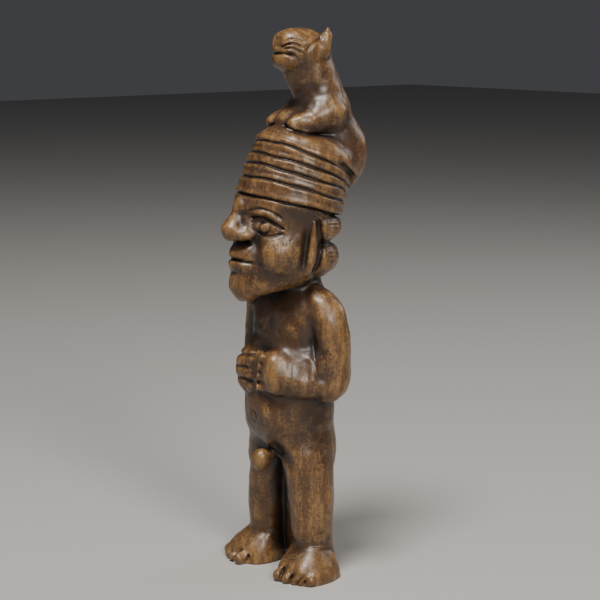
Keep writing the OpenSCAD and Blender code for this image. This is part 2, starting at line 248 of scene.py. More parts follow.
class Block:
    """The field on a grid of cells, with the carving operations."""

    def __init__(self, low, high, cell):
        self.low, self.cell = np.array(low, float), cell
        counts = np.ceil((np.array(high) - self.low) / cell).astype(int) + 1
        self.axes = [self.low[i] + cell * np.arange(counts[i]) for i in range(3)]
        self.field = np.full(counts, FAR, np.float32)

    def window(self, low, high):
        """The part of the grid between two corners, and the coordinates of its cells."""
        cuts = tuple(slice(*np.searchsorted(axis, ends))
                     for axis, *ends in zip(self.axes, low, high))
        x, y, z = (axis[cut] for axis, cut in zip(self.axes, cuts))
        return cuts, (x[:, None, None], y[None, :, None], z[None, None, :])

    def add(self, shape, blend=0.0):
        """Joins shape on, with a fillet of about that radius."""
        reach = blend + 2.0
        cuts, p = self.window(shape.low - reach, shape.high + reach)
        self.field[cuts] = smooth_min(self.field[cuts], shape.distance(p), blend)

    def cut(self, shape, blend=0.0):
        """Takes shape away."""
        reach = blend + 1.0
        cuts, p = self.window(shape.low - reach, shape.high + reach)
        self.field[cuts] = -smooth_min(-self.field[cuts], shape.distance(p), blend)

    def push(self, amount, low, high):
        """Sinks the surface by amount(p) millimetres, or raises it where that is negative."""
        cuts, p = self.window(low, high)
        self.field[cuts] += amount(p, self.field[cuts])

    def incise(self, line, facing, width, depth, near=(4.0, 22.0), turn=HEAD_TURN, taper=0.12):
        """Cuts a line given as (across, up) on the side that faces that many degrees round from
        the front towards the left, between two distances from the vertical through the origin."""
        line = curve(line)
        a = math.radians(facing)
        across, forth = (math.cos(a), math.sin(a)), (math.sin(a), -math.cos(a))
        margin = 3 * width
        ends = (line[:, 0].min() - margin, line[:, 0].max() + margin)
        spans = [(u, f) for u in ends for f in near]
        xs = [u * across[0] + f * forth[0] for u, f in spans]
        ys = [u * across[1] + f * forth[1] for u, f in spans]
        corners = [spun(x, y, turn) for x, y in zip(xs, ys)]
        flat = np.array(corners)
        low = (*flat.min(0), line[:, 1].min() - margin)
        high = (*flat.max(0), line[:, 1].max() + margin)

        def amount(p, field):
            x, y = spun(p[0], p[1], -turn)
            u = x * across[0] + y * across[1]
            f = x * forth[0] + y * forth[1]
            gap, place = to_line((u, p[2]), line)
            fade = np.clip(np.minimum(place, 1 - place) / taper, 0, 1) if taper else 1.0
            inside = np.clip(f - near[0], 0, 1) * np.clip(near[1] - f, 0, 1)
            return depth * fade * np.exp(-(gap / width) ** 2) * inside
        self.push(amount, low, high)

    def incise_both(self, line, facing, width, depth, **options):
        """The same line on the left and, mirrored, on the right."""
        self.incise(line, facing, width, depth, **options)
        self.incise([(-u, z) for u, z in line], -facing, width, depth, **options)

    def sample(self, points, field=None):
        """The field at points, between its cells."""
        field = self.field if field is None else field
        g = (points - self.low) / self.cell
        i = np.clip(np.floor(g).astype(int), 0, np.array(field.shape) - 2)
        f = np.clip(g - i, 0, 1)
        total = 0.0
        for corner in itertools.product((0, 1), repeat=3):
            weight = 1.0
            for axis, far in enumerate(corner):
                weight = weight * (f[:, axis] if far else 1 - f[:, axis])
            total = total + weight * field[tuple((i + corner).T)]
        return total

    def slope(self, points, step):
        """The field's direction of growth at points, as unit vectors."""
        g = np.stack([self.sample(points + step * e) - self.sample(points - step * e)
                      for e in np.eye(3)], 1)
        return g / (np.linalg.norm(g, axis=1, keepdims=True) + 1e-9)


def smooth_min(a, b, blend):
    """The smaller of two distances, with the corner between them rounded off."""
    if not blend:
        return np.minimum(a, b)
    h = np.clip(0.5 + 0.5 * (b - a) / blend, 0, 1)
    return b + (a - b) * h - blend * h * (1 - h)


def box_blur(volume, cells):
    """volume averaged over a cube of 2 * cells + 1 cells, twice."""
    for _ in range(2):
        for axis in range(3):
            pad = [(0, 0)] * 3
            pad[axis] = (cells + 1, cells)
            total = np.cumsum(np.pad(volume, pad, mode="edge"), axis=axis, dtype=np.float64)
            n = volume.shape[axis]
            upper = np.take(total, range(2 * cells + 1, 2 * cells + 1 + n), axis=axis)
            lower = np.take(total, range(0, n), axis=axis)
            volume = ((upper - lower) / (2 * cells + 1)).astype(np.float32)
    return volume


# ---- the figure's forms

# Heights where one part gives way to the next.
ANKLE_Z, LEG_TOP, WAIST_Z, NECK_Z = 9.2, 33.0, 48.0, 74.6
HAUNCH_TOP, MOUTH_Z = 113.2, 133.0

TRUNK = loft([
    (29.5, 0, 0.6, 4.5, 4.0, 5.0),
    (31.5, 0, 0.6, 9.0, 6.6, 8.6),
    (34.5, 0, 0.5, 10.9, 8.8, 10.7),
    (38.5, 0, 0.4, 11.1, 10.8, 11.1),
    (42.5, 0, 0.4, 10.9, 11.9, 11.4),
    (46.0, 0, 0.5, 10.7, 11.9, 11.2),
    (48.6, 0, 0.6, 10.5, 11.4, 10.7),
    (52.0, 0, 0.8, 10.6, 10.4, 10.2),
    (58.0, 0, 1.1, 11.2, 9.0, 10.0),
    (64.0, 0, 1.5, 12.0, 8.8, 9.6),
    (69.0, 0, 2.0, 12.6, 8.0, 8.8),
    (72.3, 0, 2.4, 11.0, 6.6, 6.9),
    (74.6, 0, 2.2, 7.0, 5.2, 5.4),
    (77.0, 0, 2.0, 6.0, 5.0, 5.0),
], power=2.2)

LEG = loft([
    (2.5, 8.7, 0.8, 4.6, 4.4, 5.0),
    (8.5, 8.9, 0.5, 5.0, 5.0, 5.1),
    (13.0, 8.6, 0.4, 5.3, 5.5, 5.6),
    (20.0, 8.2, 0.4, 5.6, 5.8, 6.0),
    (26.0, 7.6, 0.3, 5.7, 6.2, 6.6),
    (30.5, 6.7, 0.4, 6.0, 7.0, 8.2),
    (34.0, 6.0, 0.5, 5.6, 8.0, 9.4),
    (38.0, 5.0, 0.5, 4.6, 7.4, 8.8),
    (42.0, 4.6, 0.5, 2.8, 5.0, 6.0),
])

# The wood left standing between the legs, towards the back.
LEG_WEB = loft([
    (2.5, 0, 3.6, 5.0, 2.0, 2.0),
    (8.0, 0, 3.2, 5.0, 2.8, 2.6),
    (26.0, 0, 3.2, 5.0, 3.4, 2.8),
    (31.0, 0, 3.2, 5.0, 3.6, 4.4),
    (35.0, 0, 3.2, 5.0, 3.8, 7.0),
])

UPPER_ARM = loft([
    (46.4, 12.2, 2.4, 1.8, 2.0, 2.0),
    (47.4, 12.4, 2.5, 3.3, 3.5, 3.5),
    (49.6, 12.8, 2.9, 4.2, 4.5, 4.5),
    (52.7, 13.2, 3.2, 4.5, 4.8, 4.8),
    (57.1, 13.2, 3.3, 4.6, 4.8, 4.8),
    (62.8, 12.9, 3.0, 4.7, 4.8, 4.8),
    (68.4, 11.9, 2.5, 4.5, 4.7, 4.7),
    (71.5, 10.8, 2.3, 3.9, 4.2, 4.2),
    (73.4, 9.6, 2.2, 3.0, 3.4, 3.4),
    (74.8, 8.2, 2.2, 1.8, 2.2, 2.2),
    (75.4, 7.4, 2.2, 0.6, 0.8, 0.8),
], ease=1.2)

# The carver set the right arm a little further forward and out than the left one.
RIGHT_ARM_SHIFT = (-0.6, -0.8, 0.0)


def upper_arm(s):
    return UPPER_ARM if s > 0 else moved(mirrored(UPPER_ARM), RIGHT_ARM_SHIFT)


FOREARM = sweep([
    (13.2, 2.6, 50.6, 4.0, 3.4, 3.7),
    (10.8, -3.2, 51.0, 3.6, 2.6, 3.9),
    (8.6, -6.4, 52.2, 3.4, 3.4, 5.0),
    (6.6, -8.4, 53.6, 3.2, 3.6, 5.8),
], power=1.8)

FOOT = loft([
    (-2.0, 10.8, -3.2, 7.3, 6.4, 8.2),
    (1.0, 10.8, -3.2, 7.6, 6.9, 8.4),
    (2.6, 10.7, -3.1, 7.2, 6.7, 8.1),
    (4.4, 10.3, -2.7, 6.5, 6.1, 7.5),
    (6.0, 9.9, -2.0, 5.7, 5.1, 6.8),
    (7.4, 9.3, -1.2, 5.1, 4.2, 5.8),
    (8.3, 9.0, -0.4, 4.7, 3.6, 4.8),
], power=2.35, ease=0.7)
# Toes as (x, y of the tip, half-width), and the gaps between them as (across, up) lines.
TOES = [
    (8.2, -11.9, 1.9), (10.9, -11.5, 1.35), (13.0, -10.5, 1.2), (14.7, -9.8, 1.15),
    (16.5, -8.6, 1.5),
]
TOE_GAPS = [
    [(-3.0, -0.4), (-2.5, 1.0), (-1.9, 2.4), (-0.9, 3.6), (-0.1, 4.4)],
    [(-0.4, -0.4), (0.0, 0.8), (0.5, 1.7), (1.4, 2.9), (2.4, 3.9)],
    [(1.7, -0.4), (2.0, 0.6), (2.5, 1.3), (3.6, 2.6), (5.0, 3.8)],
    [(3.1, -0.4), (3.4, 0.5), (3.8, 1.1), (4.8, 2.3), (6.2, 3.4)],
]


def toe(i):
    """A toe that thickens towards the foot. The big toe is rounder than it is wide."""
    x, y, half_width = TOES[i]
    tip = min(half_width, 1.5)
    return limb((x, y + tip, tip - 0.1), (x - 0.2, y + tip + 2.6, tip + 0.9), tip, tip * 0.9)


# The right fist sits a little lower and closer in than the left one.
RIGHT_HAND_SHIFT = (0.4, 0.6, -1.0)
KNUCKLE_Z = (57.3, 55.1, 52.6, 50.0)
# Fills the notch between the fists.
FIST_SEAM = limb((0.2, -9.5, 49.5), (0.1, -9.6, 57.4), 1.5, 1.5)


def hand(s):
    """A fist as its palm, wrist and knuckles."""
    shapes = [
        blob((4.2, -9.2, 53.6), (4.5, 2.9, 5.5), yaw=-12, power=2.5),
        blob((6.4, -8.0, 52.8), (3.4, 3.2, 4.5), yaw=-32, power=2.2),
    ]
    shapes += [blob((2.8, -10.6, z), (1.8, 1.7, 1.35)) for z in KNUCKLE_Z]
    if s > 0:
        return shapes
    return [moved(mirrored(shape), RIGHT_HAND_SHIFT) for shape in shapes]


# The wood that fills the bend of the arm, from the upper arm to the fist.
ARM_WEB = limb((11.2, -1.6, 55.0), (5.8, -6.5, 57.0), 3.1, 2.5)

# The skull narrows to the front; the lower face stands out from it.
SKULL = loft([
    (76.4, 0, -1.5, 6.2, 8.0, 5.0),
    (78.6, 0, -1.5, 8.7, 9.2, 8.0),
    (82.0, 0, -1.2, 10.8, 10.6, 10.2),
    (87.0, 0, -1.0, 11.4, 11.0, 10.8),
    (92.0, 0, -0.6, 11.9, 12.2, 11.2),
    (97.0, 0, -0.2, 12.8, 13.4, 12.2),
    (102.0, 0, 0.6, 12.4, 12.8, 11.6),
], power=2.15)
FACE = [
    blob((0, -10.2, 82.2), (6.2, 6.5, 6.9)),
    blob((0, -12.5, 75.8), (4.6, 4.2, 4.5)),
]
JAW = limb((7.4, -0.6, 79.0), (4.2, -9.6, 76.8), 3.0, 3.4)
CHEEK = blob((6.6, -6.2, 83.6), (5.2, 6.4, 6.4))
BROW = limb((0.4, -13.4, 95.6), (7.4, -9.6, 94.6), 1.7, 1.5)
NOSE = [
    limb((0, -14.0, 95.6), (0, -16.3, 90.2), 1.2, 2.3),
    blob((0, -16.5, 89.3), (2.8, 2.8, 2.5)),
    limb((2.0, -13.2, 92.4), (3.0, -13.0, 88.6), 1.3, 1.9),
    limb((-2.0, -13.2, 92.4), (-3.0, -13.0, 88.6), 1.3, 1.9),
]
NOSTRIL = blob((2.3, -14.0, 88.6), (2.0, 3.2, 1.8), yaw=16)
LIPS = [
    limb((0, -15.9, 83.5), (4.4, -13.0, 82.6), 0.8, 0.5),
    limb((0, -15.9, 80.9), (4.1, -13.0, 81.2), 0.8, 0.5),
]
EYE_SOCKET = blob((7.9, -14.3, 91.6), (4.0, 3.0, 2.7), yaw=40)
EYEBALL = blob((5.6, -10.0, 90.7), (3.9, 2.0, 2.0), yaw=36)
EAR = union(
    limb((11.8, 0.5, 91.6), (11.4, 0.2, 86.4), 0.7, 1.25),
    limb((11.4, 0.2, 86.4), (10.9, -0.1, 82.2), 1.25, 1.6),
    limb((10.9, -0.1, 82.2), (10.2, -0.8, 79.2), 1.6, 1.0),
)
HAIR_FRONT = 2.6


def hair_roll(z, half_width, back, height):
    """A roll of hair round the back of the head, with its front edge on the ears."""
    y = HAIR_FRONT
    roll = loft([
        (z - height, 0, y, half_width - 2.6, y, back - 4.4),
        (z - height * 0.6, 0, y, half_width - 0.7, y, back - 1.0),
        (z, 0, y, half_width, y, back),
        (z + height * 0.7, 0, y, half_width - 0.5, y, back - 0.7),
        (z + height, 0, y, half_width - 2.4, y, back - 4.0),
    ], power=2.3, ease=0.8)
    return Shape(roll.distance, (-half_width, 0, z - height), (half_width, y + back, z + height))


HAIR_UPPER = hair_roll(89.6, 12.0, 9.9, 3.7)
HAIR_LOWER = hair_roll(81.9, 11.4, 9.5, 4.3)
NECK = loft([
    (70.0, 0, 2.2, 7.2, 5.6, 6.4),
    (76.0, 0, 2.0, 6.2, 5.6, 5.8),
    (82.0, 0, 1.4, 7.4, 6.0, 7.4),
])

# The cap leans back about its brim, at (y, z). Its grooves fan out: each has a height along the
# cap's axis and a tilt. CAP_WALL is the cap's radius at each groove.
CAP_ORIGIN = (-0.3, 95.3)
CAP_LEAN = 20.0
GROOVES = [(0.0, 15.0), (4.1, 17.0), (7.1, 18.9), (9.5, 20.8), (12.3, 23.0)]
CAP_WALL = [13.75, 13.6, 13.3, 13.1, 12.9]
TOP_GROOVE = len(GROOVES) - 1
GROOVE_DEPTH, GROOVE_WIDTH = 0.62, 0.28
# The bands swell beside each groove.
SWELL, SWELL_GAP, SWELL_WIDTH = 0.10, 0.9, 0.5
CROWN_RADIUS, CROWN_BASE, CROWN_RISE, CROWN_POWER = 13.0, 12.0, 7.3, 2.5
OVERLAP = 1.5  # how far cap and crown run into each other


def in_cap(p):
    """Radius, height along the cap's axis and depth behind it, of points in the head's frame."""
    c, s = math.cos(math.radians(CAP_LEAN)), math.sin(math.radians(CAP_LEAN))
    y, z = p[1] - CAP_ORIGIN[0], p[2] - CAP_ORIGIN[1]
    back, up = y * c - z * s, z * c + y * s
    return np.sqrt(p[0] ** 2 + back**2), up, back


def groove_gap(p, i):
    """Height of points over groove i's plane, in the head's frame."""
    height, tilt = GROOVES[i]
    _, up, back = in_cap(p)
    a = math.radians(CAP_LEAN - tilt)
    return (up - height) * math.cos(a) - back * math.sin(a)


def cap_distance(p):
    r, up, _ = in_cap(p)
    wall = eased(up, [height for height, _ in GROOVES], CAP_WALL, 1.0)
    return np.maximum(r - wall, np.maximum(-groove_gap(p, 0), groove_gap(p, TOP_GROOVE) - OVERLAP))


CAP = Shape(cap_distance, (-14, -16, 90), (14, 16, 115))


def crown_distance(p):
    r, up, _ = in_cap(p)
    dome = oval((r, up - CROWN_BASE), (CROWN_RADIUS, CROWN_RISE), CROWN_POWER)
    return np.maximum(dome, -groove_gap(p, TOP_GROOVE) - OVERLAP)


CROWN = Shape(crown_distance, (-14, -12, 100), (14, 20, 118))

BEAST_BODY = loft([
    (100.0, 0, 10.5, 5.0, 5.0, 6.0),
    (106.0, 0, 11.0, 6.6, 7.0, 7.6),
    (112.0, 0, 10.8, 7.4, 7.6, 8.0),
    (117.5, 0, 10.0, 7.5, 7.2, 7.5),
    (121.5, 0, 9.3, 6.9, 7.2, 7.0),
    (123.8, 0, 8.8, 6.2, 6.7, 6.6),
    (127.3, 0, 6.8, 5.9, 6.5, 6.7),
    (131.5, 0, 5.6, 5.3, 5.8, 6.4),
    (134.5, 0, 5.2, 4.6, 5.0, 6.4),
])
HAUNCH = blob((2.2, 13.8, 108.2), (6.2, 6.9, 8.8))
FORELEG = union(
    limb((5.1, -1.9, 115.6), (5.6, 3.2, 116.5), 1.9, 3.0),
    limb((5.6, 3.2, 116.5), (5.2, 8.6, 118.2), 3.0, 4.3),
)
SHOULDER = limb((4.6, 6.8, 118.4), (2.6, 8.2, 122.6), 3.8, 2.6)
BEAST_SKULL = [
    blob((0, 3.4, 134.3), (5.4, 6.4, 4.9), power=2.2),
    blob((0, 0.1, 134.7), (4.4, 3.7, 3.7), power=2.7),
]
BEAST_JAW = blob((0, -0.1, 131.5), (4.1, 3.7, 2.6), power=2.4)
BREAST = blob((0, 2.4, 116.4), (4.6, 5.4, 3.0))
THROAT = limb((0, 1.2, 130.6), (0, 3.6, 126.4), 3.3, 3.6)


def beast_ear(s):
    """A pricked ear; the right one is lower."""
    top = 139.1 if s > 0 else 137.6
    return side(union(
        limb((3.8, 7.7, 134.0), (3.9, 8.7, 137.2), 2.2, 1.3),
        limb((3.9, 8.7, 137.2), (4.0, 8.9, top), 1.0, 0.4),
    ), s)


PHALLUS = union(
    blob((-0.6, -9.1, 29.9), (2.4, 2.5, 3.0)),
    limb((0, -5.0, 31.4), (-0.4, -8.0, 31.0), 1.6, 1.8),
)
PHALLUS_ROOT = -4.0  # the y that it starts at


# ---- carving

def carve():
    """The whole figure, from the feet up."""
    block = Block(BLOCK_LOW, BLOCK_HIGH, CELL)
    carve_body(block)
    carve_arms(block)
    carve_trunk(block)
    carve_head(block)
    carve_cap(block)
    carve_beast(block)
    roughen(block)
    under_floor = -block.axes[2][None, None, :].astype(np.float32)
    block.field = np.maximum(block.field, under_floor)
    return block


def carve_body(block):
    block.add(TRUNK)
    for s in SIDES:
        block.add(side(LEG, s), 1.6)
    block.add(LEG_WEB, 1.2)
    block.add(PHALLUS, 0.5)
    for s in SIDES:
        block.add(side(FOOT, s), 0.8)
        for i in range(len(TOES)):
            block.add(side(toe(i), s), 0.7)
        for gap in TOE_GAPS:
            block.incise([(u * s, z) for u, z in gap], FRONT_LEFT * s, 0.42, 0.8,
                         turn=0, near=(9, 24), taper=0.45)


def carve_arms(block):
    """Both arms bent, with the fists against the breast."""
    for s in SIDES:
        block.add(upper_arm(s), 1.4)
    for s in SIDES:
        block.add(side(FOREARM, s), 1.6)
    for s in SIDES:
        palm, wrist, *knuckles = hand(s)
        block.add(palm, 1.2)
        block.add(wrist, 1.2)
        for knuckle in knuckles:
            block.add(knuckle, 0.5)
        block.add(side(ARM_WEB, s), 3.4)
    block.add(FIST_SEAM, 0.8)
    carve_hands(block)


def join(block, blend, *shapes):
    """Adds shapes that turn with the head."""
    for shape in shapes:
        block.add(turned(shape), blend)


def carve_head(block):
    join(block, 1.5, NECK)
    join(block, 1.0, SKULL)
    for s in SIDES:
        join(block, 2.5, side(CHEEK, s), side(JAW, s))
    join(block, 2.2, *FACE)
    join(block, 2.0, *both(BROW))
    carve_face(block)
    # the second pass over the rolls rounds their edges a little more
    for s in SIDES:
        join(block, 0.5, HAIR_UPPER)
        join(block, 0.4, HAIR_LOWER)
        join(block, 0.5, side(EAR, s))
    carve_hair(block)


LUMPS = ((4.5, 0.16), (1.7, 0.07))  # (spacing, height)
LUMP_SEED = 7


def roughen(block):
    """The slight unevenness of a surface cut by hand, in two sizes."""
    rng = np.random.default_rng(LUMP_SEED)
    for pitch, amount in LUMPS:
        counts = [int(math.ceil((axis[-1] - axis[0]) / pitch)) + 2 for axis in block.axes]
        lumps = rng.standard_normal(counts)
        for i, axis in enumerate(block.axes):
            place = (axis - axis[0]) / pitch
            low = np.floor(place).astype(int)
            t = place - low
            t = t * t * (3 - 2 * t)
            shape = [1, 1, 1]
            shape[i] = -1
            t = t.reshape(shape)
            lumps = np.take(lumps, low, axis=i) * (1 - t) + np.take(lumps, low + 1, axis=i) * t
        block.field += (amount * lumps).astype(np.float32)


# Gaps between the right fist's long fingers, as (height, tilt), and the edge between the fists.
FINGER_GAPS = ((56.9, 0.2), (54.0, 0.1), (50.9, 0.0))
FIST_EDGE = [(-8.1, 48.2), (-8.3, 51.0), (-8.1, 53.5), (-7.8, 56.0), (-7.4, 57.8), (-6.4, 59.0)]


def carve_hands(block):
    """The gaps between the right fist's fingers, and the raised edge where the fists meet."""
    for z, tilt in FINGER_GAPS:
        block.incise([(-9.6, z - tilt), (-5.0, z), (-0.9, z + tilt)], FRONT, 0.48, 0.6,
                     turn=0, near=(5, 16), taper=0.08)
    block.incise(FIST_EDGE, FRONT_LEFT, 0.34, -0.4, turn=0, near=(6, 16), taper=0.05)


ARM_CREASE = [(4.9, 68.0), (5.9, 64.0), (6.3, 59.0), (6.7, 55.0), (7.5, 51.4)]
GROIN = [(-5.2, 34.6), (-3.4, 34.0), (-1.2, 32.4), (0.2, 30.0), (0.6, 27.0)]


def ring(across, up, half_width, half_height, start=0.0, end=2 * math.pi):
    """An oval line about (across, up)."""
    return [(half_width * math.sin(a) + across, up + half_height * math.cos(a))
            for a in np.linspace(start, end, 10)]


def carve_trunk(block):
    """The crease down the inside of each arm, the folds of the groin and the navel's ring."""
    block.incise_both(ARM_CREASE, FRONT_LEFT, 0.7, 0.35, turn=0, near=(5, 15), taper=0.3)
    block.incise_both(GROIN, FRONT_LEFT, 1.3, 0.9, turn=0, near=(3, 15), taper=0.3)
    block.incise(ring(-0.8, 41.8, 1.15, 1.5), FRONT, 0.34, 0.24, turn=0, near=(6, 15), taper=0)


def carve_face(block):
    """Eyes, nose, mouth and the lines and knife marks on the side of the face."""
    for s in SIDES:
        block.cut(turned(side(EYE_SOCKET, s)), 2.2)
        join(block, 0.5, side(EYEBALL, s))
    join(block, 1.3, *NOSE)
    join(block, 1.6, *both(NOSTRIL))
    join(block, 1.0, *(side(lip, s) for s in SIDES for lip in LIPS))
    for line, width, depth in FACE_LINES:
        block.incise_both(line, FACE_SIDE, width, depth, near=(4.0, 20.0))
    for start, end in KNIFE_MARKS:
        block.incise_both([start, end], FACE_SIDE, 0.2, 0.13, near=(4.0, 20.0), taper=0.5)


# Lines on the side of the face, as (across, up) points, with half-width and depth; a negative
# depth stands proud. In turn: brow, upper lid, lower lid, iris, the ridge over the lid, mouth,
# under the nose, cheek fold, chin.
FACE_LINES = [
    ([(-10.4, 94.4), (-9.2, 95.1), (-7.5, 95.5), (-6.0, 95.3), (-4.5, 94.9), (-3.0, 94.1),
      (-1.0, 92.6)], 0.32, 0.45),
    ([(-9.6, 92.8), (-8.2, 93.3), (-6.6, 93.2), (-5.0, 92.6), (-3.5, 91.7), (-2.0, 90.8),
      (-0.9, 90.2)], 0.30, 0.65),
    ([(-8.6, 90.4), (-7.2, 89.3), (-5.9, 88.8), (-4.8, 88.65), (-3.5, 88.85), (-2.2, 89.2),
      (-1.2, 89.4)], 0.28, 0.45),
    (ring(-6.1, 90.7, 1.35, 1.4, 0.9, 6.9), 0.25, 0.42),
    ([(-9.4, 94.0), (-7.6, 94.4), (-6.0, 94.2), (-4.4, 93.6), (-2.8, 92.6), (-1.4, 91.6)],
     0.45, -0.3),
    ([(-15.6, 82.5), (-14.3, 82.5), (-13.0, 82.3), (-11.5, 82.0), (-10.0, 81.9), (-8.7, 82.1)],
     0.42, 0.6),
    ([(-15.2, 86.0), (-13.6, 86.2), (-12.0, 86.4), (-10.6, 86.8), (-9.4, 87.2)], 0.8, 0.65),
    ([(-9.4, 88.2), (-8.4, 86.6), (-7.7, 84.6), (-7.3, 82.6), (-7.2, 80.4)], 1.3, 0.4),
    ([(-14.6, 79.0), (-12.6, 78.9), (-10.6, 78.9), (-8.4, 78.6)], 0.9, 0.2),
]

# Short slanting cuts left by the knife, as (across, up) ends, on cheek and temple.
KNIFE_MARKS = [
    ((-3.1, 85.4), (-2.6, 87.4)), ((-2.5, 85.6), (-2.0, 87.3)), ((-1.6, 86.0), (-1.1, 87.6)),
    ((-0.7, 86.2), (-0.2, 87.8)), ((0.1, 86.8), (0.5, 88.0)), ((-3.8, 85.0), (-3.4, 86.2)),
    ((-1.6, 96.4), (0.2, 93.4)), ((-0.6, 96.2), (0.8, 93.0)), ((-2.4, 95.6), (-0.8, 93.6)),
    ((0.6, 95.6), (1.6, 92.6)), ((-9.9, 92.2), (-8.6, 91.6)), ((-9.7, 91.4), (-8.5, 90.9)),
]


# Lines on the side of the hair, as (across, up) points, half-width, depth, reach and taper. In
# turn: the ear's front channel, the sideburn, the ear's rear channel, the upper roll's rim.
HAIR_LINES = [
    ([(4.6, 92.4), (4.4, 89.5), (4.1, 87.0), (3.7, 84.5), (3.3, 82.0), (2.8, 79.2)],
     0.85, 0.85, (5, 15), 0.3),
    ([(3.6, 94.2), (3.5, 91.5), (3.6, 88.5)], 1.7, 0.2, (5, 15), 0.2),
    ([(7.1, 93.0), (7.5, 90.0), (7.9, 87.0), (7.7, 84.0), (7.2, 81.5), (6.2, 79.0)],
     0.75, 1.15, (4, 15), 0.15),
    ([(6.0, 94.0), (7.4, 93.2), (8.5, 91.9), (9.1, 90.3), (9.3, 88.3)], 0.35, -0.35, (2, 15), 0.1),
]


# Comb marks on the upper and the lower roll: how many, how far apart, the top one and the depth.
COMBED = [
    (5, 0.85, [(9.8, 91.8), (11.4, 91.6), (13.0, 91.3)], 0.2),
    (4, 0.95, [(9.6, 84.6), (11.0, 84.4), (12.4, 84.2)], 0.16),
]


def carve_hair(block):
    """The lines on the side of the hair, and the comb marks on both rolls."""
    for line, width, depth, near, taper in HAIR_LINES:
        block.incise_both(line, FACE_SIDE, width, depth, near=near, taper=taper)
    for count, pitch, line, depth in COMBED:
        for i in range(count):
            mark = [(u, z - pitch * i) for u, z in line]
            block.incise_both(mark, FACE_SIDE, 0.2, depth, near=(-6, 14))


CAP_LOW, CAP_HIGH = (-17, -18, 88), (17, 18, 122)


def carve_cap(block):
    """The cap and its crown, and the slightly wavy grooves between its bands."""
    join(block, 0.3, CAP)
    join(block, 0.2, CROWN)

    def amount(p, field):
        x, y = spun(p[0], p[1], -HEAD_TURN)
        q = (x, y, p[2])
        r, up, _ = in_cap(q)
        total = 0.0
        angle = np.arctan2(q[0], -q[1])
        for i in range(len(GROOVES)):
            wave = 0.14 * np.sin(3 * angle + 2 * i) + 0.08 * np.sin(7 * angle + i)
            gap = groove_gap(q, i) + wave
            total = (total + GROOVE_DEPTH * np.exp(-(gap / GROOVE_WIDTH) ** 2)
                     - SWELL * np.exp(-((np.abs(gap) - SWELL_GAP) / SWELL_WIDTH) ** 2))
        return total * np.clip(r - 9.0, 0, 1) * np.clip(17 - up, 0, 1)
    block.push(amount, CAP_LOW, CAP_HIGH)


def carve_beast(block):
    """The animal on the crown, its mouth and whisker lines, the paws' edges and the fold behind
    the haunch."""
    join(block, 2.6, BEAST_BODY)
    for s in SIDES:
        join(block, 2.4, side(HAUNCH, s))
        join(block, 3.2, side(SHOULDER, s))
        join(block, 1.6, side(FORELEG, s))
    join(block, 2.0, BREAST)
    join(block, 1.6, THROAT, *BEAST_SKULL)
    join(block, 0.9, BEAST_JAW)
    join(block, 1.0, beast_ear(1), beast_ear(-1))
    for line, width, depth in BEAST_LINES:
        block.incise_both(line, FACE_SIDE, width, depth, near=(-3.0, 14.0), taper=0.2)


# Lines on the side of the animal, as (across, up) points, with half-width and depth.
BEAST_LINES = [
    ([(-5.4, 132.9), (-3.8, 132.8), (-2.4, 133.1), (-0.9, 133.2), (1.2, 132.5), (2.9, 131.0)],
     0.34, 0.4),
    ([(-2.4, 134.1), (-0.4, 135.3), (2.0, 135.2), (3.8, 134.1)], 0.28, 0.55),
    ([(-2.4, 133.5), (-0.8, 134.2), (0.6, 134.3), (2.3, 133.8), (3.9, 132.7)], 0.28, 0.55),
    ([(-1.6, 135.3), (0.2, 136.4), (2.4, 136.3), (4.0, 135.4)], 0.26, 0.35),
    ([(-3.7, 134.0), (-3.4, 135.6), (-2.8, 137.2)], 0.24, 0.4),
    ([(-3.0, 134.2), (-2.6, 135.8), (-2.0, 137.3)], 0.24, 0.35),
    ([(4.2, 133.4), (5.4, 134.9), (7.0, 136.2), (8.6, 137.0)], 0.5, 0.3),
    ([(-1.6, 115.6), (-0.4, 115.0), (0.8, 114.3), (2.0, 113.8), (4.5, 113.2), (8.0, 113.0),
      (11.5, 112.8)], 0.5, 0.7),
    ([(11.6, 107.0), (13.2, 105.8), (14.8, 104.0), (15.9, 102.3), (16.4, 100.6), (15.6, 98.6)],
     0.7, 1.3),
]


# ---- which part is where

def limited(shape, *rules):
    """shape, with what breaks a rule pushed away: a rule gives millimetres past its limit."""
    def distance(p):
        d = shape.distance(p)
        for rule in rules:
            d = np.maximum(d, rule(p))
        return d
    return Shape(distance, shape.low, shape.high)


def nearer(shape, by):
    """shape with a head start of by millimetres."""
    return Shape(lambda p: shape.distance(p) - by, shape.low, shape.high)


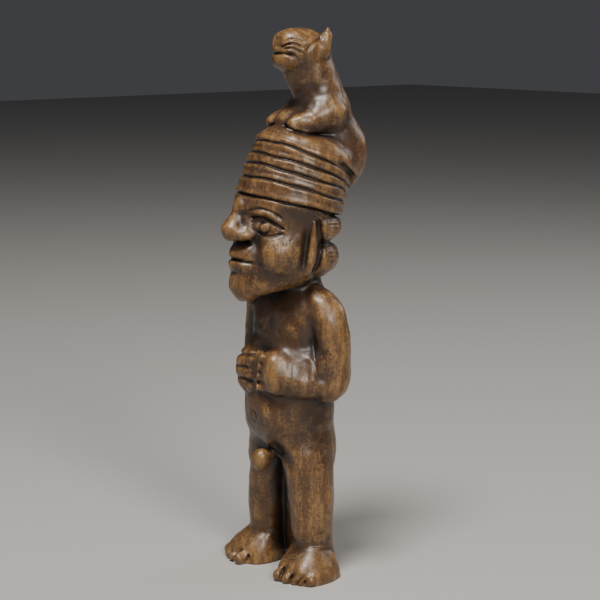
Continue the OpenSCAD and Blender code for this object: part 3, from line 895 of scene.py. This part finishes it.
def claims():
    """A distance for every part of the frame; a point of the surface belongs to the smallest."""
    body = union(TRUNK, *both(LEG), LEG_WEB)
    turns = {
        "head": union(SKULL, *FACE, *both(JAW), *both(CHEEK), *both(BROW)),
        "nose": nearer(union(*NOSE, *both(NOSTRIL)), 0.3),
        "lips": nearer(union(*(side(lip, s) for s in SIDES for lip in LIPS)), 0.4),
        "hair_upper_roll": HAIR_UPPER,
        "hair_lower_roll": HAIR_LOWER,
        "cap_crown": limited(CROWN, lambda p: -groove_gap(p, TOP_GROOVE)),
        "animal_haunches": limited(union(*both(HAUNCH), BEAST_BODY),
                                   lambda p: p[2] - HAUNCH_TOP),
        "animal_body": limited(union(BEAST_BODY, THROAT, *both(SHOULDER)),
                               lambda p: HAUNCH_TOP - p[2]),
        "animal_head": union(*BEAST_SKULL),
        "animal_lower_jaw": limited(nearer(BEAST_JAW, 0.2), lambda p: p[2] - MOUTH_Z),
    }
    for i in range(TOP_GROOVE):
        turns[f"cap_band_{i + 1}"] = limited(
            CAP, lambda p, i=i: -groove_gap(p, i), lambda p, i=i: groove_gap(p, i + 1))
    own = {
        "belly": limited(body, lambda p: LEG_TOP - p[2], lambda p: p[2] - WAIST_Z),
        "phallus": nearer(limited(PHALLUS, lambda p: p[1] - PHALLUS_ROOT), 0.5),
        "chest": limited(TRUNK, lambda p: WAIST_Z - p[2], lambda p: p[2] - NECK_Z),
        "neck": limited(union(turned(NECK), TRUNK), lambda p: NECK_Z - p[2]),
    }
    for name, s in zip(("left", "right"), SIDES):
        own[f"{name}_foot"] = side(limited(union(LEG, LEG_WEB, FOOT, *(toe(i) for i in range(5))),
                                           lambda p: p[2] - ANKLE_Z, lambda p: -p[0]), s)
        own[f"{name}_leg"] = side(limited(union(LEG, LEG_WEB, TRUNK), lambda p: ANKLE_Z - p[2],
                                          lambda p: p[2] - LEG_TOP, lambda p: -p[0]), s)
        own[f"{name}_upper_arm"] = upper_arm(s)
        own[f"{name}_forearm"] = side(union(FOREARM, ARM_WEB), s)
        own[f"{name}_hand"] = nearer(limited(union(*hand(s)), lambda p, s=s: -s * p[0]), 0.5)
        turns[f"{name}_eye"] = nearer(side(EYEBALL, s), 0.6)
        turns[f"{name}_ear"] = nearer(side(EAR, s), 0.2)
        turns[f"animal_{name}_foreleg"] = side(FORELEG, s)
        turns[f"animal_{name}_ear"] = nearer(beast_ear(s), 0.2)
    return own | {name: turned(shape) for name, shape in turns.items()}


CUT_MARGIN = 0.04  # a cut keeps this share of an edge away from its ends


def edges_of(tris):
    return np.vstack([tris[:, [0, 1]], tris[:, [1, 2]], tris[:, [2, 0]]])


def edge_key(a, b, n):
    """One number for each edge from a to b among n points."""
    return a.astype(np.int64) * (n + 1) + b


def split(points, tris, data, claim):
    """Cuts the surface where one part's claim gives way to the others'. data and claim hold a row
    for each point. Yields (column of claim, points, triangles, data) for each part."""
    order = np.arange(claim.shape[1])
    for k in order:
        rest = order[order > k]
        if len(rest) == 0:
            yield k, points, tris, data
            return
        g = claim[:, k] - claim[:, rest].min(1)
        inside = g < 0
        count = inside[tris].sum(1)
        crossing = tris[(count > 0) & (count < 3)]
        # one cut point on each crossing edge, shared by the two triangles beside it
        edges = edges_of(crossing)
        edges = edges[inside[edges[:, 0]] != inside[edges[:, 1]]]
        edges = np.unique(np.sort(edges, axis=1), axis=0)
        ga, gb = g[edges[:, 0]], g[edges[:, 1]]
        t = np.clip(ga / (ga - gb + 1e-12), CUT_MARGIN, 1 - CUT_MARGIN)[:, None]

        def blend(rows):
            return rows[edges[:, 0]] * (1 - t) + rows[edges[:, 1]] * t
        n = len(points)
        key = edge_key(edges[:, 0], edges[:, 1], n)

        def cut_point(a, b):
            return n + np.searchsorted(key, edge_key(np.minimum(a, b), np.maximum(a, b), n))
        points, data, claim = (np.vstack([rows, blend(rows)]) for rows in (points, data, claim))
        mine, others = [tris[count == 3]], [tris[count == 0]]
        for lone_inside, to_lone, to_pair in ((True, mine, others), (False, others, mine)):
            some = crossing[inside[crossing].sum(1) == (1 if lone_inside else 2)]
            if len(some) == 0:
                continue
            lone = np.argmax(inside[some] == lone_inside, axis=1)
            rows = np.arange(len(some))
            a, b, c = (some[rows, (lone + j) % 3] for j in range(3))
            ab, ca = cut_point(a, b), cut_point(a, c)
            to_lone.append(np.stack([a, ab, ca], 1))
            to_pair.append(np.stack([ab, b, c], 1))
            to_pair.append(np.stack([ab, c, ca], 1))
        yield k, points, np.vstack(mine), data
        tris = np.vstack(others)


def tidy(points, tris, *rows):
    """Only the points that the triangles use."""
    used, inverse = np.unique(tris, return_inverse=True)
    return (points[used], inverse.reshape(tris.shape), *(row[used] for row in rows))


# The inner face that closes a part: its rings' places from rim to middle, and its least depth
# under the wood's surface.
CLOSING_RINGS = (0.1, 0.3, 0.55, 0.8)
CLOSING_DEPTH = 0.5


def closed(block, points, tris, data):
    """Closes each open rim, with rings that shrink to its middle and stay under the wood's
    surface, so that the part is a closed solid."""
    edges = edges_of(tris)
    forward = edge_key(edges[:, 0], edges[:, 1], len(points))
    backward = edge_key(edges[:, 1], edges[:, 0], len(points))
    rim = edges[~np.isin(forward, backward)]
    if len(rim) == 0:
        return points, tris, data
    # rims that touch are one
    group = {v: v for v in np.unique(rim)}

    def root(v):
        while group[v] != v:
            group[v] = group[group[v]]
            v = group[v]
        return v
    for a, b in rim:
        group[root(a)] = root(b)
    roots = np.array([root(a) for a in rim[:, 0]])
    new_points, new_tris, new_data = [points], [tris], [data]
    total = len(points)
    for label in np.unique(roots):
        loop = rim[roots == label]
        corners, inverse = np.unique(loop, return_inverse=True)
        inverse = inverse.reshape(loop.shape)
        spots = points[corners]
        centre = spots.mean(0, keepdims=True)
        a, b = spots[inverse[:, 0]] - centre, spots[inverse[:, 1]] - centre
        normal = -np.cross(a, b).sum(0)
        normal /= np.linalg.norm(normal) + 1e-9
        rings = [spots]
        for t in CLOSING_RINGS:
            ring = spots * (1 - t) + centre * t
            for _ in range(3):
                over = np.maximum(block.sample(ring) + CLOSING_DEPTH, 0)
                ring = ring - over[:, None] * block.slope(ring, CELL)
            rings.append(ring)
        count = len(corners)
        middle = total + count * len(rings)
        extra = np.zeros((count * len(rings) + 1, data.shape[1]))
        extra[:, :3], extra[:, 3:] = normal, 0.5
        new_points += [*rings, rings[-1].mean(0, keepdims=True)]
        new_data.append(extra)
        here, there = inverse[:, 0] + total, inverse[:, 1] + total
        for i in range(len(CLOSING_RINGS)):
            near, far = i * count, (i + 1) * count
            new_tris.append(np.stack([there + near, here + near, here + far], 1))
            new_tris.append(np.stack([there + near, here + far, there + far], 1))
        last = len(CLOSING_RINGS) * count
        new_tris.append(np.stack([there + last, here + last, np.full(len(loop), middle)], 1))
        total = middle + 1
    return np.vstack(new_points), np.vstack(new_tris), np.vstack(new_data)


# ---- the surface

def polygonise(block):
    """The wood's surface as points and triangles, wound outwards."""
    grid = openvdb.FloatGrid()
    grid.copyFromArray(np.clip(block.field, -3 * CELL, 3 * CELL))
    points, quads = grid.convertToQuads(isovalue=0.0)
    points = points.astype(float) * CELL + block.low
    # two steps draw the points closer to the true surface
    for _ in range(2):
        gap = np.clip(block.sample(points), -CELL / 2, CELL / 2)
        points = points - 0.8 * gap[:, None] * block.slope(points, CELL / 2)
    a, b, c, d = (points[quads[:, i]] for i in range(4))
    short = np.linalg.norm(a - c, axis=1) < np.linalg.norm(b - d, axis=1)
    q = quads.astype(int)
    one = np.where(short[:, None], q[:, [0, 1, 2]], q[:, [0, 1, 3]])
    two = np.where(short[:, None], q[:, [0, 2, 3]], q[:, [1, 2, 3]])
    tris = np.vstack([one, two])
    pa, pb, pc = (points[tris[:, i]] for i in range(3))
    if np.einsum("ij,ij->", np.cross(pa, pb), pc) < 0:
        tris = tris[:, ::-1]
    return points, tris


def build_mesh(name, points, tris, normals, extra):
    """A mesh object in metres, with its own normals and a float attribute for each of extra."""
    mesh = bpy.data.meshes.new(name)
    mesh.from_pydata((points * MM).tolist(), [], tris.tolist())
    mesh.update()
    mesh.normals_split_custom_set_from_vertices(normals.tolist())
    for key, values in extra.items():
        layer = mesh.attributes.new(key, "FLOAT", "POINT")
        layer.data.foreach_set("value", values.astype(np.float32))
    piece = bpy.data.objects.new(name, mesh)
    bpy.context.collection.objects.link(piece)
    return piece


# ---- the wood's finish

# Attributes that say how much wood surrounds a point, more than half in a hollow, and how many
# cells around it each one looks. The finish darkens the wood with them: partly grime in the cuts,
# partly painted shade in the hollows.
REACHES = {"crease": 2, "recess": 8, "shade": 20}


def set_inputs(node, values):
    for key, value in values.items():
        node.inputs[key].default_value = value


class Nodes:
    """Short names for building a material's node tree."""

    def __init__(self, name):
        self.material = bpy.data.materials.new(name)
        self.material.use_nodes = True
        self.tree = self.material.node_tree
        self.shader = self.tree.nodes["Principled BSDF"]

    def make(self, kind, inputs=None, **settings):
        node = self.tree.nodes.new(kind)
        for key, value in settings.items():
            setattr(node, key, value)
        for key, value in (inputs or {}).items():
            self.put(node.inputs[key], value)
        return node

    def put(self, socket, value):
        if isinstance(value, bpy.types.NodeSocket):
            self.tree.links.new(value, socket)
        else:
            socket.default_value = value

    def math(self, operation, *values):
        node = self.make("ShaderNodeMath", operation=operation)
        for socket, value in zip(node.inputs, values):
            self.put(socket, value)
        return node.outputs[0]

    def ramp(self, value, low, high, to_low=0.0, to_high=1.0):
        return self.make("ShaderNodeMapRange", {"Value": value, "From Min": low, "From Max": high,
                                                "To Min": to_low, "To Max": to_high},
                         interpolation_type="SMOOTHSTEP").outputs["Result"]

    def mix(self, factor, a, b):
        node = self.make("ShaderNodeMix", data_type="RGBA")
        for key, value in (("Factor", factor), ("A", a), ("B", b)):
            socket = next(i for i in node.inputs if i.name == key and i.enabled)
            self.put(socket, value)
        return next(o for o in node.outputs if o.enabled)

    def noise(self, scale, stretch=(1, 1, 1), detail=3.0, roughness=0.55, shift=0.0):
        where = self.make("ShaderNodeMapping", {"Vector": self.place, "Scale": stretch,
                                                "Location": (shift, 0, 0)})
        noise = self.make("ShaderNodeTexNoise", {"Vector": where.outputs[0], "Scale": scale,
                                                 "Detail": detail, "Roughness": roughness})
        return noise.outputs["Fac"]

    def attribute(self, name):
        return self.make("ShaderNodeAttribute", attribute_name=name).outputs["Fac"]


# Linear colours of the wood.
BROWNS = ((0.034, 0.0165, 0.0085, 1), (0.064, 0.030, 0.0125, 1))
TANS = ((0.115, 0.055, 0.0185, 1), (0.205, 0.113, 0.040, 1))
# near black for the cuts and hollows: grime in the cuts, and painted shade
GRIME_AND_SHADE_COLOUR = (0.0050, 0.0030, 0.0022, 1)
PORE = (0.014, 0.0075, 0.005, 1)
GRAIN_LINE = (0.020, 0.0105, 0.0065, 1)


def waxed_wood():
    """Dark stained hardwood, worn back to tan where hands reach, near black in the cuts and
    hollows: partly grime, partly painted shade.
    """
    n = Nodes("waxed_wood")
    n.place = n.make("ShaderNodeTexCoord").outputs["Object"]
    crease, recess, shade = (n.attribute(name) for name in REACHES)
    grain = n.noise(1500, (1, 1, 0.2), detail=4)
    streak = n.noise(620, (1, 1, 0.2), detail=3, shift=0.3)
    patch = n.noise(130, detail=3, shift=0.7)
    speck = n.noise(2300, (1, 1, 0.8), detail=2, shift=0.1)
    stain = n.noise(1700, (1, 1, 0.8), detail=4, roughness=0.7, shift=0.5)

    brown = n.mix(n.ramp(patch, 0.35, 0.65), *BROWNS)
    tan = n.mix(n.ramp(streak, 0.4, 0.62), *TANS)
    # how far the stain is worn away: most on edges and swellings, least in the hollows; the recess
    # and shade terms also keep the hollows and the broad shade under the chin brown, partly
    # painted shade
    wear_and_shade = n.math("ADD", n.ramp(crease, 0.53, 0.40, 0.0, 0.60),
                    n.ramp(stain, 0.36, 0.64, -0.34, 0.34))
    wear_and_shade = n.math("ADD", wear_and_shade, n.ramp(recess, 0.54, 0.34, -0.20, 0.34))
    wear_and_shade = n.math("ADD", wear_and_shade, n.ramp(shade, 0.56, 0.26, -0.30, 0.34))
    wear_and_shade = n.math("ADD", wear_and_shade, n.ramp(patch, 0.35, 0.65, -0.16, 0.16))
    colour = n.mix(n.math("MAXIMUM", n.math("MINIMUM", wear_and_shade, 1.0), 0.0), brown, tan)
    # near black in the cuts, the hollows and the broad shade under the chin and arms: partly grime
    # in the cuts, partly painted shade
    grime_and_shade = n.math("MAXIMUM", n.ramp(crease, 0.53, 0.66), n.ramp(recess, 0.51, 0.68, 0.0, 0.9))
    grime_and_shade = n.math("MAXIMUM", grime_and_shade, n.ramp(shade, 0.46, 0.70, 0.0, 0.9))
    colour = n.mix(n.math("MULTIPLY", grime_and_shade, 0.93), colour, GRIME_AND_SHADE_COLOUR)
    pores = n.math("MULTIPLY", n.ramp(speck, 0.56, 0.68), n.ramp(patch, 0.40, 0.60, 0.25, 0.7))
    colour = n.mix(pores, colour, PORE)
    colour = n.mix(n.ramp(grain, 0.46, 0.30, 0.0, 0.35), colour, GRAIN_LINE)
    n.put(n.shader.inputs["Base Color"], colour)

    rough = n.math("ADD", n.ramp(stain, 0.3, 0.7, 0.33, 0.47), n.ramp(grime_and_shade, 0.0, 1.0, 0.0, 0.25))
    rough = n.math("ADD", rough, n.ramp(grain, 0.35, 0.65, 0.06, -0.04))
    n.put(n.shader.inputs["Roughness"], rough)
    set_inputs(n.shader, {"IOR": 1.5, "Specular IOR Level": 0.3, "Coat Weight": 0.5,
                          "Coat Roughness": 0.34})

    # shallow knife facets, pores and grain
    where = n.make("ShaderNodeMapping", {"Vector": n.place, "Scale": (1, 1, 0.6)}).outputs[0]
    knife = n.make("ShaderNodeTexVoronoi", {"Vector": where, "Scale": 420.0, "Smoothness": 0.35},
                   feature="SMOOTH_F1").outputs["Distance"]
    height = n.math("ADD", n.math("MULTIPLY", knife, 0.9), n.math("MULTIPLY", grain, 0.28))
    height = n.math("ADD", height, n.math("MULTIPLY", pores, -0.16))
    height = n.math("ADD", height, n.math("MULTIPLY", stain, 0.34))
    bump = n.make("ShaderNodeBump", {"Height": height, "Strength": 1.0, "Distance": 0.00014})
    n.put(n.shader.inputs["Normal"], bump.outputs[0])
    return n.material


def make_pieces():
    """Carves the figure and cuts its surface into one closed piece for each node of the frame."""
    block = carve()
    points, tris = polygonise(block)
    normals = block.slope(points, CELL / 2)
    solid = (block.field < 0).astype(np.float32)
    hollows = [block.sample(points, box_blur(solid, cells)) for cells in REACHES.values()]
    own = claims()
    assert set(own) == set(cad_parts), set(own) ^ set(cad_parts)
    names = sorted(own)
    claim = np.stack([own[name].distance(tuple(points.T)) for name in names], 1)
    wood = waxed_wood()
    for k, where, faces, rows in split(points, tris, np.column_stack([normals, *hollows]), claim):
        name = names[k]
        where, faces, rows = tidy(where, faces, rows)
        where, faces, rows = closed(block, where, faces, rows)
        piece = build_mesh(f"carved_{name}", where, faces, rows[:, :3],
                           {key: rows[:, 3 + i] for i, key in enumerate(REACHES)})
        piece.data.materials.append(wood)
        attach(piece, "root")
        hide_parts(name)


# ---- stage

def stage():
    """A plain pale floor in a dim, slightly blue room."""
    bpy.ops.mesh.primitive_plane_add(size=4)
    floor = bpy.context.object
    floor.name = "floor"
    material = bpy.data.materials.new("floor")
    material.use_nodes = True
    set_inputs(material.node_tree.nodes["Principled BSDF"],
               {"Base Color": (0.36, 0.352, 0.34, 1), "Roughness": 0.8})
    floor.data.materials.append(material)
    world = bpy.data.worlds.new("studio")
    bpy.context.scene.world = world
    world.use_nodes = True
    set_inputs(world.node_tree.nodes["Background"],
               {"Color": (0.9, 0.92, 1.0, 1), "Strength": 0.06})


def light(name, location, target, size, power, colour=(1, 1, 1)):
    """A soft round lamp: places and size in metres, power in watts."""
    data = bpy.data.lights.new(name, "AREA")
    data.shape, data.size, data.energy, data.color = "DISK", size, power, colour
    lamp = bpy.data.objects.new(name, data)
    bpy.context.collection.objects.link(lamp)
    aim(lamp, location, target)


def aim(thing, location, target):
    """Puts thing at location, looking at target."""
    thing.location = location
    thing.rotation_euler = (Vector(target) - Vector(location)).to_track_quat("-Z", "Y").to_euler()


# The camera's place, in millimetres and in degrees round from the front towards the left. It
# looks down by CAMERA_PITCH, past the figure's axis by CAMERA_ASIDE.
CAMERA_AZIMUTH, CAMERA_PITCH = math.radians(50), math.radians(10.3)
CAMERA_DISTANCE, CAMERA_HEIGHT, CAMERA_ASIDE = 398.6, 143.0, 2.77
SENSOR_WIDTH, LENS = 36.0, 94.98


def camera():
    data = bpy.data.cameras.new("camera")
    data.sensor_width, data.lens = SENSOR_WIDTH, LENS
    lens = bpy.data.objects.new("camera", data)
    bpy.context.collection.objects.link(lens)
    bpy.context.scene.camera = lens
    c, s = math.cos(CAMERA_AZIMUTH), math.sin(CAMERA_AZIMUTH)
    aim_height = CAMERA_HEIGHT - CAMERA_DISTANCE * math.tan(CAMERA_PITCH)
    aim(lens, (CAMERA_DISTANCE * s * MM, -CAMERA_DISTANCE * c * MM, CAMERA_HEIGHT * MM),
        (CAMERA_ASIDE * c * MM, CAMERA_ASIDE * s * MM, aim_height * MM))


make_pieces()
stage()
light("key", (0.62, -0.16, 0.42), (0, 0, 0.08), 0.24, 4.2, (1, 0.95, 0.87))
light("top", (0.12, -0.26, 0.76), (0, 0, 0.08), 0.26, 8.0, (1, 0.97, 0.92))
light("fill", (-0.35, -0.55, 0.25), (0, 0, 0.07), 0.40, 0.25)
light("rim", (0.10, 0.55, 0.35), (0, 0, 0.09), 0.30, 0.7)
camera()
